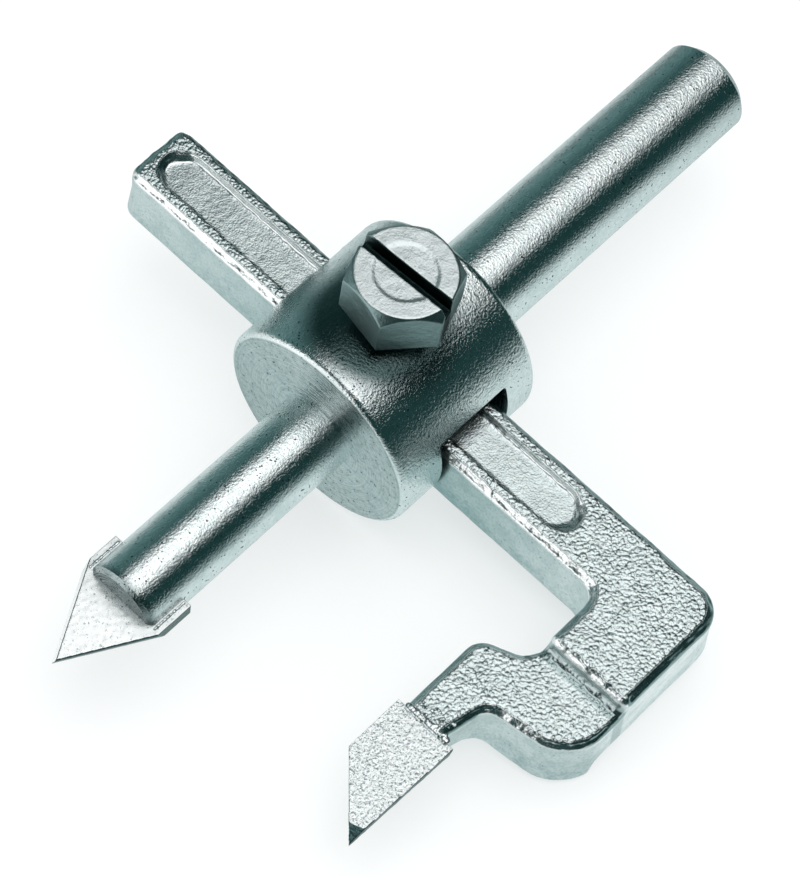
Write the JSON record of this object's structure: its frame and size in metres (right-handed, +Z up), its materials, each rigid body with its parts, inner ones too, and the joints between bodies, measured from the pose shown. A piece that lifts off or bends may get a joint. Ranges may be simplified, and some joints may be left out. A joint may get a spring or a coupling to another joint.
{
  "type": "tile circle cutter",
  "caption": "Drill-driven circle cutter for tiles: a spindle with a flat pilot, a cranked arm that slides through its collar with a cutting tip, and a clamp screw.",
  "frame": {"origin": "middle of the shank, on the spindle's axis", "axes": "+Y along the spindle towards the shank's end, +Z up from the surface the tool lies on, +X towards the side of the arm's elbow; the arm is rolled about the spindle by 6.3 degrees, elbow down, as the tool comes to rest"},
  "size_m": [0.0719, 0.091, 0.03],
  "materials": {
    "spindle_steel": "zinc-plated turned steel, glossy, finely pitted",
    "arm_steel": "zinc-plated forging, bright and granular on top, smoother on the sides",
    "screw_steel": "zinc-plated forged hexagon head, satin",
    "carbide": "ground carbide, pale and sparkling"
  },
  "bodies": {
    "holder": {"spindle": "spindle_steel", "pilot_tip": "carbide"},
    "arm": {"cutter_arm": "arm_steel", "cutter_tip": "carbide"},
    "screw": {"clamp_screw": "screw_steel"}
  },
  "joints": [
    {"name": "arm_slide", "type": "slide", "parent": "holder", "child": "arm", "axis": [0.9939, 0, -0.11], "range_m": [-0.0184, 0.027]},
    {"name": "screw_turn", "type": "hinge", "parent": "holder", "child": "screw", "pos_m": [0, -0.0278, 0], "axis": [0.11, 0, 0.9939], "range_deg": [0, 450]}
  ]
}
